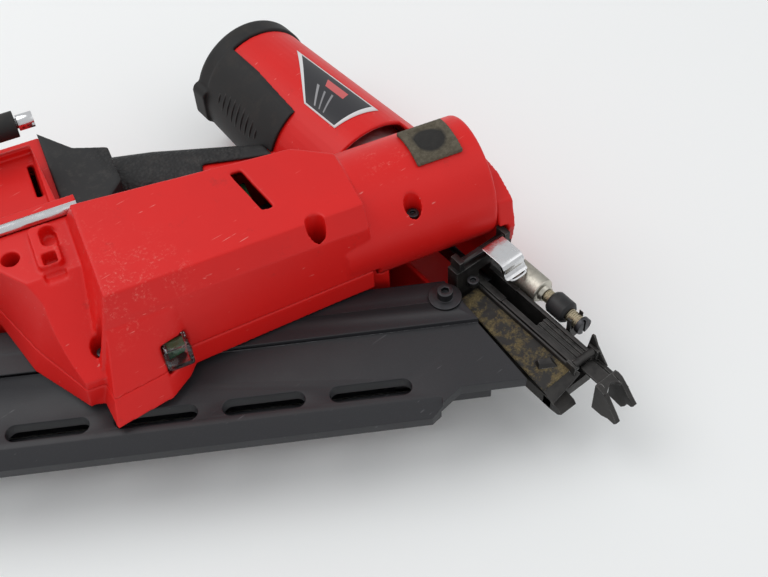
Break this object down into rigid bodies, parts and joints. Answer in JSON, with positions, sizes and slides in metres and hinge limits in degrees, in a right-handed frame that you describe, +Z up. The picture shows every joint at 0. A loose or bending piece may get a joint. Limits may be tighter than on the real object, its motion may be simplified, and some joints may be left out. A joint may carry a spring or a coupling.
{
  "type": "cordless framing nailer",
  "caption": "Battery framing nailer with a sealed gas-spring barrel, side motor and gear case, slanted nail magazine, depth-adjusting contact tip, handle with trigger and rafter hook.",
  "frame": {"origin": "under the middle of the bounding box, on the plane that the tool lies on", "axes": "+Y along the drive line from the nose to the end cap, +X from the battery foot to the drive line, +Z up from the side it lies on"},
  "size_m": [0.3564, 0.3756, 0.1215],
  "materials": {
    "red_plastic": "satin, scuffed at the edges",
    "black_rubber": "matte, dusty",
    "black_plastic": "matte",
    "magazine_black": "fine texture coat with scratches",
    "clear_plastic": "clear, faceted",
    "zinc_steel": "worn, with dark grime",
    "dark_steel": "blackened",
    "chrome_rod": "bright plated",
    "gear_steel": "machined and greased",
    "cast_alloy": "machined",
    "valve_brass": "turned",
    "winding_copper": "enamelled wire",
    "board_green": "coated board",
    "cell_wrap": "shrink wrap"
  },
  "bodies": {
    "tool": {"ball_bearings": "gear_steel", "barrel_end_cap": "black_rubber", "battery_dock": "black_plastic", "bearing_plates": "cast_alloy", "bumper": "black_rubber", "control_boards": "board_green", "cylinder_sleeve": "cast_alloy", "fill_valve": "valve_brass", "gear_case_flange": "red_plastic", "grip_left": "black_rubber", "grip_right": "black_rubber", "headlight_lens": "clear_plastic", "housing_left": "red_plastic", "housing_right": "red_plastic", "housing_screws": "dark_steel", "magazine_left": "magazine_black", "magazine_right": "magazine_black", "magazine_screw": "dark_steel", "motor_cover": "red_plastic", "nail_rails": "zinc_steel", "no_mar_pads": "black_rubber", "nose_hinges": "zinc_steel", "nosepiece": "zinc_steel", "pressure_vessel": "cast_alloy", "ring_gear": "gear_steel", "stator_core": "dark_steel", "stator_windings": "winding_copper", "trigger_pin": "dark_steel", "trigger_spring": "dark_steel", "trigger_switch": "black_plastic"},
    "lifter": {"lifter_wheel": "gear_steel", "lifter_pins": "dark_steel", "planet_carrier": "gear_steel"},
    "driver": {"piston": "cast_alloy", "piston_seal": "black_rubber", "driver_blade": "dark_steel"},
    "motor_rotor": {"rotor": "dark_steel", "cooling_fan": "black_plastic", "motor_pinion": "gear_steel"},
    "planet_1": {"planet_gear_1": "gear_steel"},
    "planet_2": {"planet_gear_2": "gear_steel"},
    "planet_3": {"planet_gear_3": "gear_steel"},
    "contact_arm": {"contact_link": "dark_steel"},
    "depth_adjuster": {"depth_wheel": "chrome_rod"},
    "work_contact": {"contact_tip": "zinc_steel", "adjuster_stud": "dark_steel", "adjuster_sleeve": "black_rubber"},
    "door": {"nose_door": "zinc_steel"},
    "latch": {"nose_latch": "zinc_steel"},
    "nail_pusher": {"pusher": "dark_steel", "pusher_knob": "black_plastic"},
    "trigger_lever": {"trigger": "black_plastic"},
    "mode_key": {"mode_button": "black_plastic"},
    "hook": {"rafter_hook": "chrome_rod", "hook_sleeve": "black_rubber"},
    "battery": {"battery_base": "black_plastic", "battery_cover": "black_plastic", "battery_cells": "cell_wrap"},
    "release_right": {"battery_button_right": "black_plastic"},
    "release_left": {"battery_button_left": "black_plastic"}
  },
  "joints": [
    {"name": "lifter_turn", "type": "hinge", "parent": "tool", "child": "lifter", "pos_m": [0.139, -0.03384, 0.082], "axis": [0.9659, -0.2588, 0], "range_deg": [-195.5, 0]},
    {"name": "driver_stroke", "type": "slide", "parent": "tool", "child": "driver", "axis": [0, -1, 0], "range_m": [0, 0.0891]},
    {"name": "motor_spin", "type": "hinge", "parent": "tool", "child": "motor_rotor", "pos_m": [0.139, -0.03384, 0.082], "axis": [0.9659, -0.2588, 0], "range_deg": [-977.6, 0]},
    {"name": "planet_1_spin", "type": "hinge", "parent": "lifter", "child": "planet_1", "pos_m": [0.14211, -0.02225, 0.082], "axis": [0.9659, -0.2588, 0], "range_deg": [0, 521.5]},
    {"name": "planet_2_spin", "type": "hinge", "parent": "lifter", "child": "planet_2", "pos_m": [0.13745, -0.03964, 0.09239], "axis": [0.9659, -0.2588, 0], "range_deg": [0, 521.5]},
    {"name": "planet_3_spin", "type": "hinge", "parent": "lifter", "child": "planet_3", "pos_m": [0.13745, -0.03964, 0.07161], "axis": [0.9659, -0.2588, 0], "range_deg": [0, 521.5]},
    {"name": "contact_press", "type": "slide", "parent": "tool", "child": "contact_arm", "axis": [0, 1, 0], "range_m": [0, 0.008], "stiffness_N_per_m": 500, "springref_m": -0.01},
    {"name": "depth_turn", "type": "hinge", "parent": "contact_arm", "child": "depth_adjuster", "pos_m": [0.1498, -0.09904, 0.0525], "axis": [0, 1, 0], "range_deg": [-720, 720]},
    {"name": "depth_shift", "type": "slide", "parent": "contact_arm", "child": "work_contact", "axis": [0, 1, 0], "range_m": [-0.004, 0.004]},
    {"name": "door_open", "type": "hinge", "parent": "tool", "child": "door", "pos_m": [0.136, -0.15454, 0.0522], "axis": [1, 0, 0], "range_deg": [0, 70]},
    {"name": "latch_open", "type": "hinge", "parent": "tool", "child": "latch", "pos_m": [0.136, -0.07544, 0.0676], "axis": [-1, 0, 0], "range_deg": [0, 80]},
    {"name": "pusher_slide", "type": "slide", "parent": "tool", "child": "nail_pusher", "axis": [-0.848, 0.5299, 0], "range_m": [0, 0.236], "stiffness_N_per_m": 10, "springref_m": -0.5},
    {"name": "trigger_pull", "type": "hinge", "parent": "tool", "child": "trigger_lever", "pos_m": [0.08781, 0.06315, 0.042], "axis": [0, 0, -1], "range_deg": [0, 10], "stiffness_Nm_per_rad": 0.5, "springref_deg": -9.74, "deforming": ["trigger_spring"]},
    {"name": "mode_press", "type": "slide", "parent": "tool", "child": "mode_key", "axis": [0, 0, -1], "range_m": [0, 0.0015], "stiffness_N_per_m": 300, "springref_m": -0.001},
    {"name": "hook_swing", "type": "hinge", "parent": "tool", "child": "hook", "pos_m": [-0.04254, 0.06139, 0.1095], "axis": [0.9659, -0.2588, 0], "range_deg": [0, 100]},
    {"name": "battery_slide", "type": "slide", "parent": "tool", "child": "battery", "axis": [0.2588, 0.9659, 0], "range_m": [0, 0.1]},
    {"name": "release_right_press", "type": "slide", "parent": "battery", "child": "release_right", "axis": [0, 0, -1], "range_m": [0, 0.003], "stiffness_N_per_m": 600, "springref_m": -0.002},
    {"name": "release_left_press", "type": "slide", "parent": "battery", "child": "release_left", "axis": [0, 0, 1], "range_m": [0, 0.003], "stiffness_N_per_m": 600, "springref_m": -0.002}
  ],
  "couplings": [
    {"joint": "driver_stroke", "follows": "lifter_turn", "m_per_rad": -0.02608},
    {"joint": "motor_spin", "follows": "lifter_turn", "ratio": 5},
    {"joint": "planet_1_spin", "follows": "lifter_turn", "ratio": -2.6667},
    {"joint": "planet_2_spin", "follows": "lifter_turn", "ratio": -2.6667},
    {"joint": "planet_3_spin", "follows": "lifter_turn", "ratio": -2.6667},
    {"joint": "depth_turn", "follows": "depth_shift", "rad_per_m": 3141.6}
  ]
}
